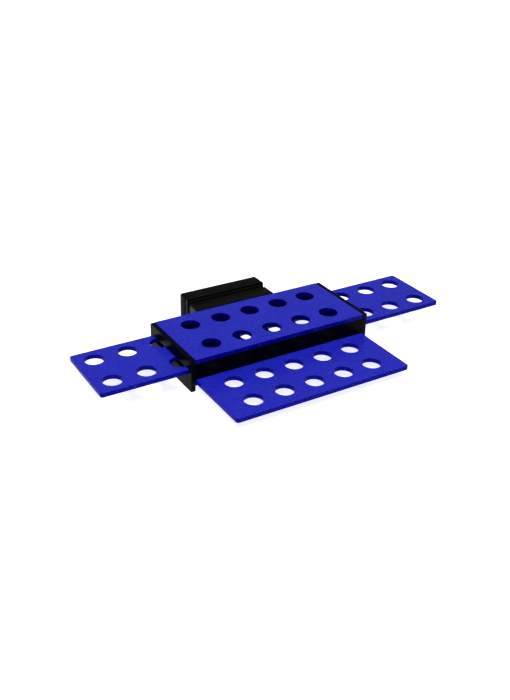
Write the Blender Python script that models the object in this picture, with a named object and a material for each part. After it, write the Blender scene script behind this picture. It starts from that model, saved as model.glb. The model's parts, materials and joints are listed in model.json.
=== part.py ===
"""Expanding tube rack with a magnet clamp, in metres, +Z up.

The rack is a low box of 3 mm sheet. A perforated deck and floor close its top and
bottom, two side trays slide out of slots in its ends, and a front tray slides out
under its front wall. One half of a magnet clamp is screwed to the back wall, and
the other half sits loose against it.
The origin is the middle of the box, at its underside. +X is the rack's right, +Y its back.
The trays are modelled as they stand when pulled out.
"""
from math import cos, pi, sin

import bmesh
import bpy
from mathutils import Matrix, Vector

MM = 0.001
GAP = 0.3 * MM                 # clearance between neighbouring pieces
SHEET = 3.0 * MM               # thickness of the acrylic sheet
CORNER = 2.0 * MM              # radius of a tray's outer corners
SMALL_CORNER = 0.8 * MM        # radius of every other sheet corner
CORNER_STEPS = 4

# Body
BODY_LENGTH = 137.0 * MM
BODY_DEPTH = 58.6 * MM
BODY_HEIGHT = 22.8 * MM
FLOOR_SETBACK = 6.0 * MM       # the floor's front edge stands back from the walls'

# Tube holes
HOLE_RADIUS = 6.35 * MM
HOLE_PITCH = 23.0 * MM
HOLE_SIDES = 24
DECK_COLUMNS = 5
DECK_ROW_GAP = 28.8 * MM

# Side trays, which share one level and meet in the middle when pushed in
SIDE_TRAY_TOP = 15.1 * MM
SIDE_TRAY_LENGTH = 96.0 * MM
SIDE_COLUMNS = 4
SIDE_END_MARGIN = 12.4 * MM    # outer end to the first column of holes
LEFT_PULL = 58.9 * MM          # how far each tray stands out of the body
RIGHT_PULL = 68.6 * MM

# Front tray, between the floor and the side trays
FRONT_TRAY_TOP = 8.5 * MM
FRONT_TRAY_DEPTH = 62.4 * MM
FRONT_COLUMN_PITCH = 22.6 * MM
FRONT_ROW_GAP = 23.6 * MM
FRONT_EDGE_MARGIN = 14.3 * MM  # front edge to the first row of holes
FRONT_PULL = 51.1 * MM

# Strips: runners carry the side trays, rests and guides keep the front tray level
STRIP = 3.0 * MM
STOP_HEIGHT = 1.8 * MM

# Magnet clamp
CLAMP_LENGTH = 62.6 * MM
CLAMP_CENTRE = -1.2 * MM       # the clamp stands a little to the left
INNER_CLAMP_HEIGHT = 22.8 * MM
OUTER_CLAMP_HEIGHT = 25.2 * MM
CASE_DEPTH = 10.2 * MM
CASE_END = 8.0 * MM            # solid end of a case, where a screw bites
CASE_WALL = 2.0 * MM
CASE_FLOOR = 2.5 * MM
CASE_EDGE = 1.6 * MM           # rounding of a case's edges
MAGNET_EDGE = 0.4 * MM
LID_THICKNESS = 1.5 * MM
PAD_THICKNESS = 1.2 * MM
PAD_INSET = 1.5 * MM

# Screws that hold the inner case to the back wall
SCREW_SPACING = 53.0 * MM
SCREW_LENGTH = 8.0 * MM
SCREW_RADIUS = 1.4 * MM
SCREW_HEAD_RADIUS = 2.8 * MM
SCREW_HEAD_DEPTH = 1.6 * MM
SCREW_SOCKET_RADIUS = 1.1 * MM
SCREW_SOCKET_DEPTH = 1.2 * MM
SCREW_SIDES = 20

# Derived positions
BODY_END = BODY_LENGTH / 2
BODY_FRONT = -BODY_DEPTH / 2
BODY_BACK = BODY_DEPTH / 2
INSIDE_END = BODY_END - SHEET
INSIDE_BACK = BODY_BACK - SHEET
DECK_BOTTOM = BODY_HEIGHT - SHEET
SIDE_TRAY_BOTTOM = SIDE_TRAY_TOP - SHEET
SIDE_TRAY_HALF = INSIDE_BACK - GAP
FRONT_TRAY_BOTTOM = FRONT_TRAY_TOP - SHEET
FRONT_TRAY_HALF = INSIDE_END - GAP
RUNNER_INNER = INSIDE_BACK - GAP - STRIP
GUIDE_INNER = INSIDE_END - GAP - STRIP

COLOURS = {                    # name: colour, roughness, metallic
    "blue_acrylic": ((0.010, 0.013, 0.430), 0.16, 0.0),
    "black_acrylic": ((0.008, 0.009, 0.010), 0.14, 0.0),
    "black_case": ((0.012, 0.012, 0.011), 0.42, 0.0),
    "black_pad": ((0.020, 0.020, 0.020), 0.90, 0.0),
    "magnet_ferrite": ((0.050, 0.050, 0.055), 0.55, 0.6),
    "screw_steel": ((0.500, 0.500, 0.520), 0.30, 1.0),
}


def clear_scene():
    for old in list(bpy.data.objects):
        bpy.data.objects.remove(old, do_unlink=True)


def material(name):
    found = bpy.data.materials.get(name)
    if found:
        return found
    colour, roughness, metallic = COLOURS[name]
    made = bpy.data.materials.new(name)
    made.use_nodes = True
    shader = made.node_tree.nodes["Principled BSDF"]
    shader.inputs["Base Color"].default_value = (*colour, 1.0)
    shader.inputs["Roughness"].default_value = roughness
    shader.inputs["Metallic"].default_value = metallic
    return made


def add_object(name, shape, colour, place=(0.0, 0.0, 0.0)):
    """Turns a bmesh into an object whose origin is at place."""
    bmesh.ops.translate(shape, verts=shape.verts, vec=-Vector(place))
    bmesh.ops.recalc_face_normals(shape, faces=shape.faces)
    mesh = bpy.data.meshes.new(name)
    shape.to_mesh(mesh)
    shape.free()
    made = bpy.data.objects.new(name, mesh)
    made.location = place
    mesh.materials.append(material(colour))
    bpy.context.collection.objects.link(made)
    return made


def circle(centre, radius, sides):
    """Points of a round hole, turned so that flats face the axes."""
    x, y = centre
    turns = [2 * pi * (k + 0.5) / sides for k in range(sides)]
    return [(x + radius * cos(a), y + radius * sin(a)) for a in turns]


def rounded_rectangle(x0, x1, y0, y1, radii):
    """Outline with a radius for each corner: (x0,y0), (x1,y0), (x1,y1), (x0,y1)."""
    corners = [(x0, y0, 1, 1), (x1, y0, -1, 1), (x1, y1, -1, -1), (x0, y1, 1, -1)]
    points = []
    for turn, ((x, y, sx, sy), radius) in enumerate(zip(corners, radii)):
        centre_x = x + sx * radius
        centre_y = y + sy * radius
        for step in range(CORNER_STEPS + 1):
            angle = pi + (turn + step / CORNER_STEPS) * pi / 2
            points.append((centre_x + radius * cos(angle), centre_y + radius * sin(angle)))
    return points


def cut_sheet(outline, holes, thickness):
    """A flat sheet from z = 0 up, cut to an outline with holes through it."""
    shape = bmesh.new()
    edges = []
    for loop in [outline] + holes:
        ring = [shape.verts.new((x, y, 0.0)) for x, y in loop]
        edges += [shape.edges.new((a, b)) for a, b in zip(ring, ring[1:] + ring[:1])]
    bmesh.ops.triangle_fill(shape, edges=edges, use_beauty=True)
    raised = bmesh.ops.extrude_face_region(shape, geom=shape.faces[:])
    top = [item for item in raised["geom"] if isinstance(item, bmesh.types.BMVert)]
    bmesh.ops.translate(shape, verts=top, vec=(0.0, 0.0, thickness))
    return shape


def block(x, y, z, bevel=0.0):
    """A box between (low, high) pairs, with its edges rounded if bevel is given."""
    shape = bmesh.new()
    bmesh.ops.create_cube(shape, size=1.0)
    size = Vector((x[1] - x[0], y[1] - y[0], z[1] - z[0]))
    middle = Vector((x[0] + x[1], y[0] + y[1], z[0] + z[1])) / 2
    bmesh.ops.scale(shape, verts=shape.verts, vec=size)
    bmesh.ops.translate(shape, verts=shape.verts, vec=middle)
    if bevel:
        bmesh.ops.bevel(shape, geom=shape.edges[:], offset=bevel, segments=2, profile=0.5,
                        affect="EDGES", clamp_overlap=True)
    return shape


def hole_grid(first_x, step_x, columns, rows):
    """Round holes in columns from first_x, one at each of the rows' y."""
    return [circle((first_x + k * step_x, y), HOLE_RADIUS, HOLE_SIDES)
            for k in range(columns) for y in rows]


def add_plates():
    """The deck and the floor: the same five columns of two holes."""
    half_x = INSIDE_END - GAP
    first_x = -HOLE_PITCH * (DECK_COLUMNS - 1) / 2
    rows = (-DECK_ROW_GAP / 2, DECK_ROW_GAP / 2)
    plates = (("floor_plate", 0.0, BODY_FRONT + FLOOR_SETBACK),
              ("top_deck", DECK_BOTTOM, BODY_FRONT))
    for name, bottom, front in plates:
        outline = rounded_rectangle(-half_x, half_x, front, BODY_BACK, [SMALL_CORNER] * 4)
        shape = cut_sheet(outline, hole_grid(first_x, HOLE_PITCH, DECK_COLUMNS, rows), SHEET)
        bmesh.ops.translate(shape, verts=shape.verts, vec=(0.0, 0.0, bottom))
        add_object(name, shape, "blue_acrylic", (0.0, 0.0, bottom))


def add_end_walls():
    """End walls, each with the slot that a side tray slides through."""
    outline = rounded_rectangle(BODY_FRONT, BODY_BACK, 0.0, BODY_HEIGHT, [SMALL_CORNER] * 4)
    slot = rounded_rectangle(-INSIDE_BACK, INSIDE_BACK, SIDE_TRAY_BOTTOM - GAP,
                             SIDE_TRAY_TOP + GAP, [SMALL_CORNER] * 4)
    upright = Matrix(((0, 0, 1), (1, 0, 0), (0, 1, 0)))
    for name, x in (("left_end_wall", -BODY_END), ("right_end_wall", INSIDE_END)):
        shape = cut_sheet(outline, [slot], SHEET)
        bmesh.ops.transform(shape, verts=shape.verts, matrix=upright.to_4x4())
        bmesh.ops.translate(shape, verts=shape.verts, vec=(x, 0.0, 0.0))
        add_object(name, shape, "black_acrylic", (x, 0.0, 0.0))


def add_long_walls(screw_cutters):
    """The front wall stops above the front tray, and the back wall on the floor."""
    half_x = INSIDE_END - GAP
    top = DECK_BOTTOM - GAP
    front = block((-half_x, half_x), (BODY_FRONT, BODY_FRONT + SHEET), (FRONT_TRAY_TOP + GAP, top))
    add_object("front_wall", front, "black_acrylic", (0.0, BODY_FRONT, 0.0))
    back = block((-half_x, half_x), (INSIDE_BACK, BODY_BACK), (SHEET + GAP, top))
    wall = add_object("back_wall", back, "black_acrylic", (0.0, INSIDE_BACK, 0.0))
    cut_away(wall, screw_cutters)


def add_runners():
    """Strips along the front and back walls, under and over the side trays."""
    half_x = INSIDE_END - GAP
    levels = (("lower", SIDE_TRAY_BOTTOM - GAP - STRIP, SIDE_TRAY_BOTTOM - GAP),
              ("upper", SIDE_TRAY_TOP + GAP, DECK_BOTTOM - GAP))
    sides = (("front", (-RUNNER_INNER - STRIP, -RUNNER_INNER)),
             ("back", (RUNNER_INNER, RUNNER_INNER + STRIP)))
    for level, low, high in levels:
        for side, y in sides:
            strip = block((-half_x, half_x), y, (low, high))
            add_object(f"{side}_{level}_runner", strip, "blue_acrylic", (0.0, y[0], low))


def add_front_tray_strips():
    """Strips on the end walls, under and over the front tray, that keep it level."""
    over = FRONT_TRAY_TOP + GAP
    levels = (("rest", SHEET + GAP, FRONT_TRAY_BOTTOM - GAP), ("guide", over, over + STRIP))
    sides = (("left", (-GUIDE_INNER - STRIP, -GUIDE_INNER)),
             ("right", (GUIDE_INNER, GUIDE_INNER + STRIP)))
    y = (-RUNNER_INNER + GAP, RUNNER_INNER - GAP)
    for level, low, high in levels:
        for side, x in sides:
            strip = block(x, y, (low, high))
            add_object(f"{side}_tray_{level}", strip, "black_acrylic", (x[0], 0.0, low))


def add_side_tray(side, sign, pull):
    """One side tray and the stop on its inner end; sign is the way that it pulls out."""
    outer = sign * (BODY_END + pull)
    inner = outer - sign * SIDE_TRAY_LENGTH
    radii = [CORNER, SMALL_CORNER, SMALL_CORNER, CORNER]
    if sign > 0:
        radii = [SMALL_CORNER, CORNER, CORNER, SMALL_CORNER]
    outline = rounded_rectangle(min(outer, inner), max(outer, inner),
                                -SIDE_TRAY_HALF, SIDE_TRAY_HALF, radii)
    rows = (-DECK_ROW_GAP / 2, DECK_ROW_GAP / 2)
    holes = hole_grid(outer - sign * SIDE_END_MARGIN, -sign * HOLE_PITCH, SIDE_COLUMNS, rows)
    shape = cut_sheet(outline, holes, SHEET)
    bmesh.ops.translate(shape, verts=shape.verts, vec=(0.0, 0.0, SIDE_TRAY_BOTTOM))
    origin = (inner, 0.0, SIDE_TRAY_BOTTOM)
    add_object(f"{side}_side_tray", shape, "blue_acrylic", origin)
    stop_x = sorted((inner, inner + sign * STRIP))
    stop_y = (-RUNNER_INNER + GAP, RUNNER_INNER - GAP)
    low = SIDE_TRAY_TOP + GAP
    stop = block(stop_x, stop_y, (low, low + STOP_HEIGHT))
    add_object(f"{side}_tray_stop", stop, "blue_acrylic", origin)


def add_front_tray():
    """The front tray and the stop along its inner edge."""
    front = BODY_FRONT - FRONT_PULL
    back = front + FRONT_TRAY_DEPTH
    radii = [CORNER, CORNER, SMALL_CORNER, SMALL_CORNER]
    outline = rounded_rectangle(-FRONT_TRAY_HALF, FRONT_TRAY_HALF, front, back, radii)
    first_x = -FRONT_COLUMN_PITCH * (DECK_COLUMNS - 1) / 2
    first_row = front + FRONT_EDGE_MARGIN
    rows = (first_row, first_row + FRONT_ROW_GAP)
    holes = hole_grid(first_x, FRONT_COLUMN_PITCH, DECK_COLUMNS, rows)
    shape = cut_sheet(outline, holes, SHEET)
    bmesh.ops.translate(shape, verts=shape.verts, vec=(0.0, 0.0, FRONT_TRAY_BOTTOM))
    origin = (0.0, back, FRONT_TRAY_BOTTOM)
    add_object("front_tray", shape, "blue_acrylic", origin)
    half_x = GUIDE_INNER - GAP
    low = FRONT_TRAY_TOP + GAP
    stop = block((-half_x, half_x), (back - STRIP, back), (low, low + STOP_HEIGHT))
    add_object("front_tray_stop", stop, "blue_acrylic", origin)


def turned(profile, x, z):
    """A solid turned about the line at x, z along Y, from (radius, y) points."""
    shape = bmesh.new()
    turns = [2 * pi * k / SCREW_SIDES for k in range(SCREW_SIDES)]
    rings = [[shape.verts.new((x + radius * cos(a), y, z + radius * sin(a))) for a in turns]
             for radius, y in profile]
    for ring, following in zip(rings, rings[1:]):
        for k in range(SCREW_SIDES):
            after = (k + 1) % SCREW_SIDES
            shape.faces.new((ring[k], ring[after], following[after], following[k]))
    shape.faces.new(rings[0])
    shape.faces.new(rings[-1])
    return shape


def add_screws():
    """Two countersunk screws, and the cutters of their holes."""
    height = (SIDE_TRAY_BOTTOM + SIDE_TRAY_TOP) / 2
    face = INSIDE_BACK + GAP
    neck = face + SCREW_HEAD_DEPTH
    tip = face + SCREW_LENGTH
    screw = [(SCREW_SOCKET_RADIUS, face + SCREW_SOCKET_DEPTH), (SCREW_SOCKET_RADIUS, face),
             (SCREW_HEAD_RADIUS, face), (SCREW_RADIUS, neck),
             (SCREW_RADIUS, tip - SCREW_RADIUS / 2), (SCREW_RADIUS / 2, tip)]
    hole = [(SCREW_HEAD_RADIUS + GAP, INSIDE_BACK - GAP), (SCREW_HEAD_RADIUS + GAP, face),
            (SCREW_RADIUS + GAP, neck), (SCREW_RADIUS + GAP, tip + GAP)]
    cutters = []
    for side, x in (("left", CLAMP_CENTRE - SCREW_SPACING / 2),
                    ("right", CLAMP_CENTRE + SCREW_SPACING / 2)):
        place = (x, face, height)
        add_object(f"case_screw_{side}", turned(screw, x, height), "screw_steel", place)
        cutters.append(add_cutter(f"screw_hole_{side}", turned(hole, x, height), place))
    return cutters


def cut_away(target, cutters):
    for cutter in cutters:
        boolean = target.modifiers.new(cutter.name, "BOOLEAN")
        boolean.operation = "DIFFERENCE"
        boolean.solver = "EXACT"
        boolean.object = cutter


def add_cutter(name, shape, place):
    cutter = add_object(name, shape, "black_case", place)
    cutter.hide_render = True
    cutter.display_type = "WIRE"
    return cutter


def clamp_x(inset):
    """The clamp's two ends in x, drawn in by an inset."""
    half_x = CLAMP_LENGTH / 2 - inset
    return (CLAMP_CENTRE - half_x, CLAMP_CENTRE + half_x)


def add_case(name, height, y_floor, y_mouth, screw_cutters):
    """A clamp case: a block with rounded edges, hollowed from its flat mouth."""
    shape = block(clamp_x(0.0), sorted((y_floor, y_mouth)), (0.0, height))
    outer_edges = [edge for edge in shape.edges
                   if any(abs(vert.co.y - y_mouth) > GAP for vert in edge.verts)]
    bmesh.ops.bevel(shape, geom=outer_edges, offset=CASE_EDGE, segments=2, profile=0.5,
                    affect="EDGES")
    place = (CLAMP_CENTRE, y_floor, 0.0)
    case = add_object(name, shape, "black_case", place)
    inward = 1.0 if y_mouth > y_floor else -1.0
    cavity_y = sorted((y_floor + inward * CASE_FLOOR, y_mouth + inward * GAP))
    cavity = block(clamp_x(CASE_END), cavity_y, (CASE_WALL, height - CASE_WALL))
    cut_away(case, [add_cutter(f"{name}_cavity", cavity, place)] + screw_cutters)


def add_facing_plate(name, x, z, y, thickness, colour):
    """An upright plate with rounded corners, from y through a signed thickness."""
    outline = rounded_rectangle(*x, *z, [CASE_EDGE] * 4)
    shape = cut_sheet(outline, [], thickness)
    upright = Matrix(((1, 0, 0), (0, 0, 1), (0, 1, 0)))
    bmesh.ops.transform(shape, verts=shape.verts, matrix=upright.to_4x4())
    bmesh.ops.translate(shape, verts=shape.verts, vec=(0.0, y, 0.0))
    add_object(name, shape, colour, (CLAMP_CENTRE, y, z[0]))


def add_clamp_half(side, height, y_floor, inward, screw_cutters):
    """One half of the clamp: case, magnet, lid and pad. Returns the pad's outer face."""
    y_mouth = y_floor + inward * CASE_DEPTH
    add_case(f"{side}_clamp_case", height, y_floor, y_mouth, screw_cutters)
    magnet_y = sorted((y_floor + inward * (CASE_FLOOR + GAP), y_mouth - inward * GAP))
    magnet = block(clamp_x(CASE_END + GAP), magnet_y,
                   (CASE_WALL + GAP, height - CASE_WALL - GAP), MAGNET_EDGE)
    magnet_place = (CLAMP_CENTRE, magnet_y[0], 0.0)
    add_object(f"{side}_clamp_magnet", magnet, "magnet_ferrite", magnet_place)
    lid_y = y_mouth + inward * GAP
    add_facing_plate(f"{side}_clamp_lid", clamp_x(0.0), (0.0, height), lid_y,
                     inward * LID_THICKNESS, "black_case")
    pad_y = lid_y + inward * (LID_THICKNESS + GAP)
    add_facing_plate(f"{side}_clamp_pad", clamp_x(PAD_INSET), (PAD_INSET, height - PAD_INSET),
                     pad_y, inward * PAD_THICKNESS, "black_pad")
    return pad_y + inward * PAD_THICKNESS


def add_clamp(screw_cutters):
    """The half on the back wall, and the loose half that faces it."""
    inner_floor = BODY_BACK + GAP
    inner_face = add_clamp_half("inner", INNER_CLAMP_HEIGHT, inner_floor, 1.0, screw_cutters)
    stack = inner_face - inner_floor
    outer_floor = inner_face + GAP + stack
    add_clamp_half("outer", OUTER_CLAMP_HEIGHT, outer_floor, -1.0, [])


def main():
    clear_scene()
    add_plates()
    add_end_walls()
    screw_cutters = add_screws()
    add_long_walls(screw_cutters)
    add_runners()
    add_front_tray_strips()
    add_side_tray("left", -1.0, LEFT_PULL)
    add_side_tray("right", 1.0, RIGHT_PULL)
    add_front_tray()
    add_clamp(screw_cutters)


main()
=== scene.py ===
"""Looks of the expanding tube rack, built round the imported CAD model. Metres, +Z up.

Every sheet is cut again with round holes and softly rounded edges, and the clamp is
built again with moulded edges. Each piece stands where its CAD node stands.
"""
import json
from math import cos, pi, radians, sin

import bmesh
import bpy
from mathutils import Euler, Matrix, Vector


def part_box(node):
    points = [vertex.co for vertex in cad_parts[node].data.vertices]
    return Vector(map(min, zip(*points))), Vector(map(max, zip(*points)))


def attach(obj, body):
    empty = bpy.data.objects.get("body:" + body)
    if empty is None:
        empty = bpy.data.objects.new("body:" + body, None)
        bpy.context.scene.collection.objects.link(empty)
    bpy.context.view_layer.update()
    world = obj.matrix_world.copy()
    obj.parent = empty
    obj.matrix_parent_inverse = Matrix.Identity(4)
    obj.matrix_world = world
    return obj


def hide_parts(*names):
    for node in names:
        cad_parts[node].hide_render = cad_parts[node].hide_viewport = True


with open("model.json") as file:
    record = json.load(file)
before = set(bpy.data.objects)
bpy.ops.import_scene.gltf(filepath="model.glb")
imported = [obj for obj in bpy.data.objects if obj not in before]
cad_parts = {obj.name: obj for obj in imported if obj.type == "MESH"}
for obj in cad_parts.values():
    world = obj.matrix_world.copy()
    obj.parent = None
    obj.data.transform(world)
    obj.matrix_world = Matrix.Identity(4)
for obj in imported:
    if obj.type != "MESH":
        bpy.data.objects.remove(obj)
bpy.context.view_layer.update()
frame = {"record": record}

MM = 0.001

# Sheets
SEAM = 0.28 * MM               # what closes the CAD gap at a glued seam
TRAY_CORNER = 2.0 * MM
SMALL_CORNER = 0.8 * MM
CORNER_STEPS = 10
EDGE = 0.22 * MM               # rounding of a cut edge
EDGE_STEPS = 3
HOLE_RADIUS = 6.35 * MM
HOLE_PITCH = 23.0 * MM
HOLE_SIDES = 96
BODY_COLUMNS = 5
BODY_ROW_GAP = 28.8 * MM
SIDE_COLUMNS = 4
SIDE_END_MARGIN = 12.4 * MM
FRONT_COLUMN_PITCH = 22.6 * MM
FRONT_ROW_GAP = 23.6 * MM
FRONT_EDGE_MARGIN = 14.3 * MM

CLEARANCE = 0.3 * MM           # round a tray in its slot and a screw in its hole

# Screws in the back wall
SCREW_SIDES = 48
SCREW_PROFILE = (              # shares of the head's radius and of the length
    (0.94, 0.0), (1.0, 0.02), (1.0, 0.04), (0.5, 0.22), (0.5, 0.90), (0.2, 1.0))
SOCKET_SIDES = 6
SOCKET_RADIUS = 0.42           # share of the head's radius
SOCKET_DEPTH = 0.15            # share of the length
SINK_DEPTH = 0.65              # countersink's share of the wall's thickness

# Clamp
CASE_ROUNDING = 1.6 * MM
CASE_STEPS = 6
CASE_WALL = 2.0 * MM
CASE_END = 8.0 * MM
CASE_FLOOR = 2.5 * MM
MAGNET_EDGE = 0.4 * MM

# Colours, linear, and how sheet takes light
BLUE = (0.017, 0.023, 0.560)
# the cut edges' blue is the faces' blue darkened: painted shade on the sheets' sides and hole walls
BLUE_CUT_PAINTED_SHADE = (0.001, 0.001, 0.250)
BLUE_WORN = (0.040, 0.060, 0.520)
BLACK = (0.0006, 0.0007, 0.0030)
BLACK_CUT = (0.0016, 0.0020, 0.0022)
BLACK_WORN = (0.010, 0.011, 0.013)
BLUE_GLOW = 0.6                # share of the light that wanders inside blue sheet
BLUE_GLOSS = 0.20              # specular levels
BLACK_GLOSS = 0.02
GLOW_DEPTH = 2.5 * MM          # how far blue light wanders
GLOW_REACH = (0.1, 0.12, 1.0)  # of red, green and blue light, against GLOW_DEPTH
EDGE_GLOSS = 0.03
CASE_GLOSS = 0.05
FELT_GLOSS = 0.05
ACRYLIC_IOR = 1.49

# Camera and light
CAMERA_PLACE = (-0.2868, -0.4501, 0.2969)
CAMERA_PITCH = 29.25           # degrees below the horizon
CAMERA_YAW = 32.17             # degrees from +Y towards +X
CAMERA_ROLL = 1.68             # degrees about the line of sight
LENS = 45.41                   # mm on a 36 mm sensor
FLOOR_SIZE = 14.0
FLOOR_DROP = 0.1 * MM          # keeps the floor clear of the rack's underside
FLOOR_GLOW = 0.81
SKY_LIGHT = 0.22
KEY_PLACE = (-0.25, -0.30, 1.20)
KEY_SIZE = 0.80
KEY_POWER = 12.0


# ---------------------------------------------------------------- node helpers

def new_material(name):
    made = bpy.data.materials.new(name)
    made.use_nodes = True
    return made, made.node_tree, made.node_tree.nodes["Principled BSDF"]


def noise(tree, size, detail=2.0, stretch=(1.0, 1.0, 1.0), turn=(0.0, 0.0, 0.0)):
    """Noise whose features are about size metres across, longer along a small stretch."""
    place = tree.nodes.new("ShaderNodeTexCoord")
    mapping = tree.nodes.new("ShaderNodeMapping")
    mapping.inputs["Scale"].default_value = stretch
    mapping.inputs["Rotation"].default_value = turn
    texture = tree.nodes.new("ShaderNodeTexNoise")
    texture.inputs["Scale"].default_value = 1.0 / size
    texture.inputs["Detail"].default_value = detail
    tree.links.new(place.outputs["Object"], mapping.inputs["Vector"])
    tree.links.new(mapping.outputs["Vector"], texture.inputs["Vector"])
    return texture.outputs["Fac"]


def spread(tree, value, low, high, start=0.35, end=0.65):
    """A value between start and end, spread over low to high."""
    node = tree.nodes.new("ShaderNodeMapRange")
    node.inputs["From Min"].default_value = start
    node.inputs["From Max"].default_value = end
    node.inputs["To Min"].default_value = low
    node.inputs["To Max"].default_value = high
    tree.links.new(value, node.inputs["Value"])
    return node.outputs["Result"]


def combine(tree, operation, first, second):
    node = tree.nodes.new("ShaderNodeMath")
    node.operation = operation
    for socket, value in zip(node.inputs, (first, second)):
        if isinstance(value, float):
            socket.default_value = value
        else:
            tree.links.new(value, socket)
    return node.outputs["Value"]


def blend_colours(tree, factor, first, second):
    """A colour between two, where either can be a colour or a socket."""
    node = tree.nodes.new("ShaderNodeMix")
    node.data_type = "RGBA"
    tree.links.new(factor, node.inputs["Factor"])
    sockets = [item for item in node.inputs if item.type == "RGBA"]
    for socket, value in zip(sockets, (first, second)):
        if isinstance(value, tuple):
            socket.default_value = (*value, 1.0)
        else:
            tree.links.new(value, socket)
    return [item for item in node.outputs if item.type == "RGBA"][0]


def bump(tree, height, depth, below=None):
    """Bump of a depth in metres, on top of another one."""
    node = tree.nodes.new("ShaderNodeBump")
    node.inputs["Strength"].default_value = 1.0
    node.inputs["Distance"].default_value = depth
    tree.links.new(height, node.inputs["Height"])
    if below:
        tree.links.new(below, node.inputs["Normal"])
    return node.outputs["Normal"]


# ------------------------------------------------------------------- materials

def sheet_material(name, colour, worn, glow, gloss):
    """The polished face of cast acrylic: faint waves, smudges, dust and hair scratches."""
    made, tree, shader = new_material(name)
    glow_through(shader, glow)
    clouds = spread(tree, noise(tree, 30.0 * MM, 3.0), 0.0, 1.0)
    cast = blend_colours(tree, clouds, tuple(0.93 * c for c in colour), colour)
    dust = spread(tree, noise(tree, 0.9 * MM, 1.0), 0.0, 0.10, 0.70, 0.78)
    tree.links.new(blend_colours(tree, dust, cast, worn), shader.inputs["Base Color"])
    smudges = spread(tree, noise(tree, 18.0 * MM, 5.0), 0.22, 0.32)
    hairs = scratches(tree)
    rough = combine(tree, "ADD", smudges, combine(tree, "MULTIPLY", hairs, 0.12))
    tree.links.new(rough, shader.inputs["Roughness"])
    waves = bump(tree, noise(tree, 22.0 * MM, 1.0), 0.05 * MM)
    peel = bump(tree, noise(tree, 1.6 * MM, 2.0), 0.002 * MM, waves)
    tree.links.new(bump(tree, hairs, -0.002 * MM, peel), shader.inputs["Normal"])
    shader.inputs["IOR"].default_value = ACRYLIC_IOR
    shader.inputs["Specular IOR Level"].default_value = gloss
    return made


def glow_through(shader, weight):
    """Lets a share of the light wander through the sheet, blue reaching furthest."""
    shader.subsurface_method = "RANDOM_WALK"
    shader.inputs["Subsurface Weight"].default_value = weight
    shader.inputs["Subsurface Radius"].default_value = GLOW_REACH
    shader.inputs["Subsurface Scale"].default_value = GLOW_DEPTH


def scratches(tree):
    """Sparse fine lines in two directions, as a value from 0 to 1."""
    lines = []
    for turn, stretch in ((0.5, (0.03, 1.0, 1.0)), (2.1, (0.04, 1.0, 1.0))):
        value = noise(tree, 1.1 * MM, 1.0, stretch, (0.0, 0.0, turn))
        lines.append(spread(tree, value, 0.0, 1.0, 0.72, 0.76))
    return combine(tree, "MAXIMUM", *lines)


def edge_material(name, colour, worn, thickness_axis, glow):
    """A cut edge: fine striations across the sheet's thickness, and paler scuffed spots."""
    made, tree, shader = new_material(name)
    glow_through(shader, glow)
    across = [1.0, 1.0, 1.0]
    across[thickness_axis] = 0.06
    stripes = noise(tree, 0.45 * MM, 2.0, tuple(across))
    scuffs = spread(tree, noise(tree, 3.5 * MM, 4.0), 0.0, 0.16, 0.55, 0.72)
    darker = tuple(0.75 * c for c in colour)
    tone = blend_colours(tree, spread(tree, stripes, 0.0, 1.0), darker, colour)
    tree.links.new(blend_colours(tree, scuffs, tone, worn), shader.inputs["Base Color"])
    tree.links.new(spread(tree, stripes, 0.22, 0.38), shader.inputs["Roughness"])
    tree.links.new(bump(tree, stripes, 0.03 * MM), shader.inputs["Normal"])
    shader.inputs["IOR"].default_value = ACRYLIC_IOR
    shader.inputs["Specular IOR Level"].default_value = EDGE_GLOSS
    return made


def case_material():
    """Moulded plastic with a fine spark-eroded grain, rubbed paler on its edges."""
    made, tree, shader = new_material("case_plastic")
    worn = tree.nodes.new("ShaderNodeNewGeometry").outputs["Pointiness"]
    rubbed = combine(tree, "MULTIPLY", spread(tree, worn, 0.0, 0.5, 0.52, 0.62),
                     spread(tree, noise(tree, 3.0 * MM, 4.0), 0.2, 1.0))
    clouds = spread(tree, noise(tree, 12.0 * MM, 3.0), 0.0, 1.0)
    plain = blend_colours(tree, clouds, (0.0022, 0.0026, 0.0018), (0.0042, 0.0046, 0.0036))
    tree.links.new(blend_colours(tree, rubbed, plain, (0.010, 0.010, 0.009)),
                   shader.inputs["Base Color"])
    grain = noise(tree, 0.35 * MM, 3.0)
    tree.links.new(spread(tree, noise(tree, 9.0 * MM, 4.0), 0.34, 0.46), shader.inputs["Roughness"])
    tree.links.new(bump(tree, grain, 0.03 * MM), shader.inputs["Normal"])
    shader.inputs["Specular IOR Level"].default_value = CASE_GLOSS
    return made


def felt_material():
    """Thin pressed felt: crossed fibres and a soft nap."""
    made, tree, shader = new_material("felt")
    fibres = combine(tree, "MAXIMUM", noise(tree, 0.5 * MM, 3.0, (0.2, 1.0, 1.0), (0.0, 0.7, 0.0)),
                     noise(tree, 0.5 * MM, 3.0, (1.0, 1.0, 0.2), (0.0, 0.4, 0.0)))
    tone = blend_colours(tree, spread(tree, fibres, 0.0, 1.0), (0.001, 0.001, 0.001),
                         (0.006, 0.006, 0.006))
    tree.links.new(tone, shader.inputs["Base Color"])
    shader.inputs["Roughness"].default_value = 0.95
    shader.inputs["Specular IOR Level"].default_value = FELT_GLOSS
    shader.inputs["Sheen Weight"].default_value = 0.01
    tree.links.new(bump(tree, fibres, 0.15 * MM), shader.inputs["Normal"])
    return made


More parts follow.
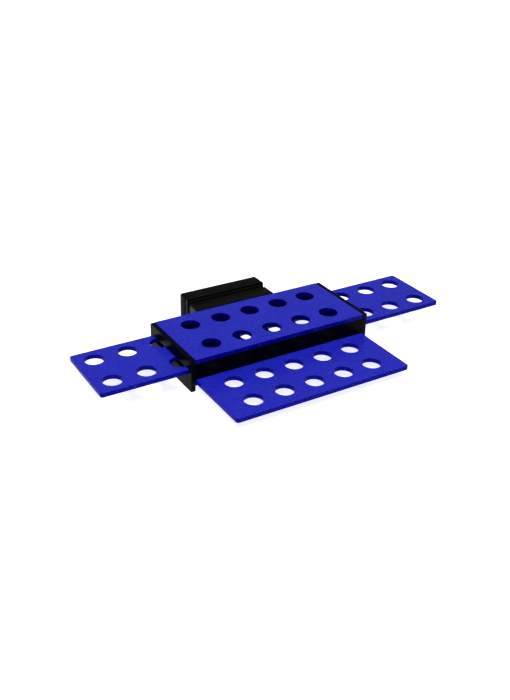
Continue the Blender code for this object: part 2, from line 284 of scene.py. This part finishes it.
def ferrite_material():
    """Ground ferrite: dark grey with grinding lines and small pits."""
    made, tree, shader = new_material("ferrite")
    lines = noise(tree, 0.6 * MM, 2.0, (0.05, 1.0, 1.0))
    pits = spread(tree, noise(tree, 0.9 * MM, 3.0), 0.0, 1.0, 0.62, 0.70)
    tone = blend_colours(tree, pits, (0.060, 0.060, 0.064), (0.020, 0.020, 0.022))
    tree.links.new(tone, shader.inputs["Base Color"])
    tree.links.new(spread(tree, lines, 0.40, 0.60), shader.inputs["Roughness"])
    tree.links.new(bump(tree, lines, 0.02 * MM), shader.inputs["Normal"])
    shader.inputs["Metallic"].default_value = 0.4
    return made


def steel_material():
    """Zinc-plated screw steel, slightly clouded."""
    made, tree, shader = new_material("screw_steel")
    clouds = spread(tree, noise(tree, 1.8 * MM, 4.0), 0.0, 1.0)
    tone = blend_colours(tree, clouds, (0.42, 0.42, 0.43), (0.58, 0.58, 0.60))
    tree.links.new(tone, shader.inputs["Base Color"])
    tree.links.new(spread(tree, clouds, 0.22, 0.38, 0.0, 1.0), shader.inputs["Roughness"])
    tree.links.new(bump(tree, noise(tree, 0.4 * MM, 2.0), 0.01 * MM), shader.inputs["Normal"])
    shader.inputs["Metallic"].default_value = 1.0
    return made


blue_face = sheet_material("blue_acrylic", BLUE, BLUE_WORN, BLUE_GLOW, BLUE_GLOSS)
# blue sides and hole walls: a darker blue that paints their shade, under real striations and scuffs
blue_edge_painted_shade = edge_material("blue_acrylic_edge_painted_shade", BLUE_CUT_PAINTED_SHADE, BLUE_WORN, 2, BLUE_GLOW)
black_face = sheet_material("black_acrylic", BLACK, BLACK_WORN, 0.0, BLACK_GLOSS)
black_edges = [edge_material(f"black_acrylic_edge_{axis}", BLACK_CUT, BLACK_WORN, k, 0.0)
               for k, axis in enumerate("xyz")]
case_plastic = case_material()
felt = felt_material()
ferrite = ferrite_material()
screw_steel = steel_material()


# -------------------------------------------------------------------- geometry

def rounded_outline(low, high, radii):
    """A function from an inset to the points of a rectangle with its own four radii."""
    signs = ((1, 1), (-1, 1), (-1, -1), (1, -1))
    corners = ((low[0], low[1]), (high[0], low[1]), (high[0], high[1]), (low[0], high[1]))

    def points(inset):
        made = []
        for turn, ((x, y), (sx, sy), radius) in enumerate(zip(corners, signs, radii)):
            for step in range(CORNER_STEPS + 1):
                angle = pi + (turn + step / CORNER_STEPS) * pi / 2
                made.append((x + sx * radius + (radius - inset) * cos(angle),
                             y + sy * radius + (radius - inset) * sin(angle)))
        return made
    return points


def round_hole(x, y, radius=HOLE_RADIUS):
    """A function from an inset to the points of a hole, which widens with the inset."""
    turns = [2 * pi * (k + 0.5) / HOLE_SIDES for k in range(HOLE_SIDES)]
    return lambda inset: [(x + (radius + inset) * cos(a), y + (radius + inset) * sin(a))
                          for a in turns]


def rounded_rings(loop, thickness, edge=EDGE):
    """Rings up a sheet's side, (points, height), with both of its edges rounded."""
    turns = [k * pi / 2 / EDGE_STEPS for k in range(EDGE_STEPS + 1)]
    lower = [(loop(edge * (1 - sin(a))), edge * (1 - cos(a))) for a in turns]
    upper = [(points, thickness - height) for points, height in reversed(lower)]
    return lower + upper


def sheet_shape(rings_of_loops):
    """A flat sheet from rings: faces get material 0 and all that is cut gets material 1."""
    shape = bmesh.new()
    caps = ([], [])
    for rings in rings_of_loops:
        made = [[shape.verts.new((x, y, z)) for x, y in points] for points, z in rings]
        for low, high in zip(made, made[1:]):
            for a, b, c, d in zip(low, low[1:] + low[:1], high[1:] + high[:1], high):
                shape.faces.new((a, b, c, d)).material_index = 1
        for cap, ring in zip(caps, (made[0], made[-1])):
            cap += [shape.edges.get(pair) for pair in zip(ring, ring[1:] + ring[:1])]
    for cap in caps:
        bmesh.ops.triangle_fill(shape, edges=cap, use_beauty=True)
    return shape


def add_piece(name, shape, node, materials):
    """Makes a piece from a bmesh in the frame's own coordinates, in place of a CAD node."""
    bmesh.ops.recalc_face_normals(shape, faces=shape.faces)
    mesh = bpy.data.meshes.new(name)
    shape.to_mesh(mesh)
    shape.free()
    mesh.shade_smooth()
    for item in materials:
        mesh.materials.append(item)
    piece = bpy.data.objects.new(name, mesh)
    bpy.context.scene.collection.objects.link(piece)
    normals = piece.modifiers.new("soft_edges", "WEIGHTED_NORMAL")
    normals.keep_sharp = True
    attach(piece, body_of_node[node])
    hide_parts(node)
    return piece


def glued_box(node, sides):
    """A node's box, grown to close the seam on sides such as "-x" and "+z"."""
    low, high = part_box(node)
    for side in sides:
        axis = "xyz".index(side[1])
        if side[0] == "-":
            low[axis] -= SEAM
        else:
            high[axis] += SEAM
    return low, high


ORIENTATIONS = {               # thickness axis: (first, second) sheet axes
    0: (1, 2),
    1: (0, 2),
    2: (0, 1),
}


def stand_up(shape, thickness_axis, level):
    """Turns a flat sheet so that its thickness runs along an axis, from a level."""
    first, second = ORIENTATIONS[thickness_axis]
    matrix = Matrix.Diagonal((0.0, 0.0, 0.0, 1.0))
    matrix[first][0] = 1.0
    matrix[second][1] = 1.0
    matrix[thickness_axis][2] = 1.0
    matrix[thickness_axis][3] = level
    bmesh.ops.transform(shape, verts=shape.verts, matrix=matrix)


def add_sheet(node, thickness_axis, sides=(), holes=(), radii=(SMALL_CORNER,) * 4, edge=EDGE,
              materials=None):
    """A sheet in place of a node; holes are ring lists or loops in the sheet's own axes."""
    low, high = glued_box(node, sides)
    first, second = ORIENTATIONS[thickness_axis]
    thickness = high[thickness_axis] - low[thickness_axis]
    outline = rounded_outline((low[first], low[second]), (high[first], high[second]), radii)
    rings = [rounded_rings(outline, thickness, edge)]
    rings += [hole if isinstance(hole, list) else rounded_rings(hole, thickness, edge)
              for hole in holes]
    shape = sheet_shape(rings)
    stand_up(shape, thickness_axis, low[thickness_axis])
    return add_piece(f"{node}_sheet", shape, node, materials)


def hole_grid(first_x, step_x, columns, rows):
    """Round holes in columns from first_x, one at each of the rows' y."""
    return [round_hole(first_x + k * step_x, y) for k in range(columns) for y in rows]


# --------------------------------------------------------------------- rack

def add_plates():
    """Deck and floor, glued between the end walls."""
    first_x = -HOLE_PITCH * (BODY_COLUMNS - 1) / 2
    rows = (-BODY_ROW_GAP / 2, BODY_ROW_GAP / 2)
    holes = hole_grid(first_x, HOLE_PITCH, BODY_COLUMNS, rows)
    for node in ("top_deck", "floor_plate"):
        add_sheet(node, 2, ("-x", "+x"), holes, materials=(blue_face, blue_edge_painted_shade))


def add_end_walls():
    """End walls with their slots, which clear the side trays."""
    tray_low, tray_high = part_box("left_side_tray")
    slot = rounded_outline((tray_low.y - CLEARANCE, tray_low.z - CLEARANCE),
                           (tray_high.y + CLEARANCE, tray_high.z + CLEARANCE),
                           (SMALL_CORNER,) * 4)
    for node in ("left_end_wall", "right_end_wall"):
        add_sheet(node, 0, (), [lambda inset: slot(-inset)],
                  materials=(black_face, black_edges[0]))


def countersink(x, z, face_radius, neck_radius, depth, thickness):
    """Rings of a countersunk hole through the back wall, from its inner face outwards."""
    profile = ((face_radius + EDGE, 0.0), (face_radius, EDGE), (face_radius, depth / 3),
               (neck_radius, depth), (neck_radius, thickness))
    return [(round_hole(x, z, radius)(0.0), height) for radius, height in profile]


def add_long_walls():
    """The front wall, and the back wall with its two screw holes."""
    add_sheet("front_wall", 1, ("-x", "+x", "+z"), materials=(black_face, black_edges[1]))
    wall_low, wall_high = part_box("back_wall")
    thickness = wall_high.y - wall_low.y
    holes = []
    for side in ("left", "right"):
        low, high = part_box(f"case_screw_{side}")
        head = (high.x - low.x) / 2 + CLEARANCE
        holes.append(countersink((low.x + high.x) / 2, (low.z + high.z) / 2, head, head / 2,
                                 thickness * SINK_DEPTH, thickness))
    add_sheet("back_wall", 1, ("-x", "+x", "-z", "+z"), holes,
              materials=(black_face, black_edges[1]))


def add_strips():
    """Runners along the long walls, guides on the end walls and stops on the trays."""
    for side, wall in (("front", "-y"), ("back", "+y")):
        for level in ("lower", "upper"):
            seams = ("-x", "+x", wall) + (("+z",) if level == "upper" else ())
            add_sheet(f"{side}_{level}_runner", 2, seams, materials=(blue_face, blue_edge_painted_shade))
    for side, wall in (("left", "-x"), ("right", "+x")):
        for level in ("rest", "guide"):
            add_sheet(f"{side}_tray_{level}", 2, (wall,), materials=(black_face, black_edges[2]))
        add_sheet(f"{side}_tray_stop", 2, ("-z",), materials=(blue_face, blue_edge_painted_shade))
    add_sheet("front_tray_stop", 2, ("-z",), materials=(blue_face, blue_edge_painted_shade))


def add_side_trays():
    """Both side trays, whose columns of holes start at their outer ends."""
    rows = (-BODY_ROW_GAP / 2, BODY_ROW_GAP / 2)
    for node, sign in (("left_side_tray", -1.0), ("right_side_tray", 1.0)):
        low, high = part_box(node)
        outer = high.x if sign > 0 else low.x
        holes = hole_grid(outer - sign * SIDE_END_MARGIN, -sign * HOLE_PITCH, SIDE_COLUMNS, rows)
        radii = (TRAY_CORNER, SMALL_CORNER, SMALL_CORNER, TRAY_CORNER)
        if sign > 0:
            radii = (SMALL_CORNER, TRAY_CORNER, TRAY_CORNER, SMALL_CORNER)
        add_sheet(node, 2, (), holes, radii, materials=(blue_face, blue_edge_painted_shade))


def add_front_tray():
    """The front tray, whose rows of holes start at its front edge."""
    low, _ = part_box("front_tray")
    first_x = -FRONT_COLUMN_PITCH * (BODY_COLUMNS - 1) / 2
    first_row = low.y + FRONT_EDGE_MARGIN
    rows = (first_row, first_row + FRONT_ROW_GAP)
    holes = hole_grid(first_x, FRONT_COLUMN_PITCH, BODY_COLUMNS, rows)
    radii = (TRAY_CORNER, TRAY_CORNER, SMALL_CORNER, SMALL_CORNER)
    add_sheet("front_tray", 2, (), holes, radii, materials=(blue_face, blue_edge_painted_shade))


def add_screws():
    """Countersunk screws with a hexagon socket, turned about their own line."""
    for side in ("left", "right"):
        low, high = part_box(f"case_screw_{side}")
        x = (low.x + high.x) / 2
        z = (low.z + high.z) / 2
        head = (high.x - low.x) / 2
        length = high.y - low.y
        profile = [(head * out, length * along) for out, along in SCREW_PROFILE]
        shape = bmesh.new()
        rings = [[shape.verts.new((x + r * cos(a), low.y + y, z + r * sin(a)))
                  for a in (2 * pi * k / SCREW_SIDES for k in range(SCREW_SIDES))]
                 for r, y in profile]
        for ring, after in zip(rings, rings[1:]):
            for a, b, c, d in zip(ring, ring[1:] + ring[:1], after[1:] + after[:1], after):
                shape.faces.new((a, b, c, d))
        shape.faces.new(rings[-1])
        add_socket(shape, rings[0], x, low.y, z, head * SOCKET_RADIUS,
                   length * SOCKET_DEPTH)
        add_piece(f"case_screw_{side}_turned", shape, f"case_screw_{side}", (screw_steel,))


def add_socket(shape, rim, x, y, z, radius, depth):
    """Closes a screw's head with a face that has a hexagon socket in it."""
    levels = []
    for level in (0.0, depth):
        levels.append([shape.verts.new((x + radius * cos(a), y + level, z + radius * sin(a)))
                       for a in (2 * pi * k / SOCKET_SIDES for k in range(SOCKET_SIDES))])
    mouth, bottom = levels
    for a, b, c, d in zip(mouth, mouth[1:] + mouth[:1], bottom[1:] + bottom[:1], bottom):
        shape.faces.new((a, b, c, d))
    shape.faces.new(bottom)
    edges = [shape.edges.get(pair) for pair in zip(rim, rim[1:] + rim[:1])]
    edges += [shape.edges.get(pair) for pair in zip(mouth, mouth[1:] + mouth[:1])]
    bmesh.ops.triangle_fill(shape, edges=edges, use_beauty=True)


# --------------------------------------------------------------------- clamp

def rounded_block(low, high, rounding, steps, flat_y=None):
    """A block with rounded edges, but for those that lie on the plane y = flat_y."""
    shape = bmesh.new()
    bmesh.ops.create_cube(shape, size=1.0)
    bmesh.ops.scale(shape, verts=shape.verts, vec=high - low)
    bmesh.ops.translate(shape, verts=shape.verts, vec=(high + low) / 2)
    edges = [edge for edge in shape.edges
             if flat_y is None or any(abs(vert.co.y - flat_y) > SEAM for vert in edge.verts)]
    bmesh.ops.bevel(shape, geom=edges, offset=rounding, segments=steps, profile=0.5,
                    affect="EDGES")
    return shape


def hollow(shape, mouth_y, inward, low, high):
    """Sinks a cavity for the magnet into the flat mouth of a case."""
    mouth = max((face for face in shape.faces
                 if all(abs(vert.co.y - mouth_y) < SEAM for vert in face.verts)),
                key=lambda face: face.calc_area())
    depth = high.y - low.y - CASE_FLOOR
    bmesh.ops.inset_region(shape, faces=[mouth], thickness=CASE_WALL)
    half = (high.x - low.x) / 2
    middle = (high.x + low.x) / 2
    squeeze = (half - CASE_END) / (half - CASE_WALL)
    for vert in mouth.verts:
        vert.co.x = middle + (vert.co.x - middle) * squeeze
    sunk = bmesh.ops.extrude_discrete_faces(shape, faces=[mouth])["faces"][0]
    bmesh.ops.translate(shape, verts=sunk.verts, vec=(0.0, -inward * depth, 0.0))


def add_clamp_half(side, inward):
    """Case, lid, pad and magnet of one half; inward points from the case to its pad."""
    low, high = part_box(f"{side}_clamp_case")
    mouth_y = high.y if inward > 0 else low.y
    shape = rounded_block(low, high, CASE_ROUNDING, CASE_STEPS, mouth_y)
    hollow(shape, mouth_y, inward, low, high)
    add_piece(f"{side}_clamp_case_shell", shape, f"{side}_clamp_case", (case_plastic,))
    corners = (CASE_ROUNDING,) * 4
    toward_case = ("-y",) if inward > 0 else ("+y",)
    add_sheet(f"{side}_clamp_lid", 1, toward_case, (), corners, EDGE,
              (case_plastic, case_plastic))
    add_sheet(f"{side}_clamp_pad", 1, toward_case, (), corners, EDGE, (felt, felt))
    low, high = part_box(f"{side}_clamp_magnet")
    block = rounded_block(low, high, MAGNET_EDGE, EDGE_STEPS)
    add_piece(f"{side}_clamp_magnet_block", block, f"{side}_clamp_magnet", (ferrite,))


# ---------------------------------------------------------------------- stage

def add_floor():
    """A plain pale floor that glows a little, as paper lit from below does."""
    shape = bmesh.new()
    bmesh.ops.create_grid(shape, x_segments=1, y_segments=1, size=FLOOR_SIZE / 2)
    mesh = bpy.data.meshes.new("floor")
    shape.to_mesh(mesh)
    shape.free()
    floor = bpy.data.objects.new("floor", mesh)
    floor.location = (0.0, 0.0, -FLOOR_DROP)
    bpy.context.scene.collection.objects.link(floor)
    made, _, shader = new_material("floor_paper")
    shader.inputs["Base Color"].default_value = (0.90, 0.90, 0.91, 1.0)
    shader.inputs["Roughness"].default_value = 0.9
    shader.inputs["Specular IOR Level"].default_value = 0.0
    shader.inputs["Emission Color"].default_value = (1.0, 1.0, 1.0, 1.0)
    shader.inputs["Emission Strength"].default_value = FLOOR_GLOW
    mesh.materials.append(made)


def add_light(name, place, size, power):
    """A square soft light aimed at the rack."""
    data = bpy.data.lights.new(name, "AREA")
    data.size = size
    data.energy = power
    light = bpy.data.objects.new(name, data)
    light.location = place
    light.rotation_mode = "QUATERNION"
    light.rotation_quaternion = (-Vector(place)).to_track_quat("-Z", "Y")
    bpy.context.scene.collection.objects.link(light)


def add_sky():
    world = bpy.data.worlds.new("studio")
    world.use_nodes = True
    sky = world.node_tree.nodes["Background"]
    sky.inputs["Color"].default_value = (1.0, 1.0, 1.0, 1.0)
    sky.inputs["Strength"].default_value = SKY_LIGHT
    bpy.context.scene.world = world


def add_camera():
    data = bpy.data.cameras.new("camera")
    data.lens = LENS
    data.clip_start = 0.01
    camera = bpy.data.objects.new("camera", data)
    camera.location = CAMERA_PLACE
    aim = Euler((radians(90.0 - CAMERA_PITCH), 0.0, radians(-CAMERA_YAW))).to_matrix()
    roll = Matrix.Rotation(radians(CAMERA_ROLL), 3, "Z")
    camera.rotation_euler = (aim @ roll).to_euler()
    bpy.context.scene.collection.objects.link(camera)
    bpy.context.scene.camera = camera


record = frame["record"]
body_of_node = {node: body for body, nodes in record["behaviour"]["bodies"].items()
                for node in nodes}

bpy.context.scene.view_settings.view_transform = "Standard"
add_plates()
add_end_walls()
add_long_walls()
add_strips()
add_side_trays()
add_front_tray()
add_screws()
add_clamp_half("inner", 1.0)
add_clamp_half("outer", -1.0)
add_floor()
add_sky()
add_light("key", KEY_PLACE, KEY_SIZE, KEY_POWER)
add_camera()
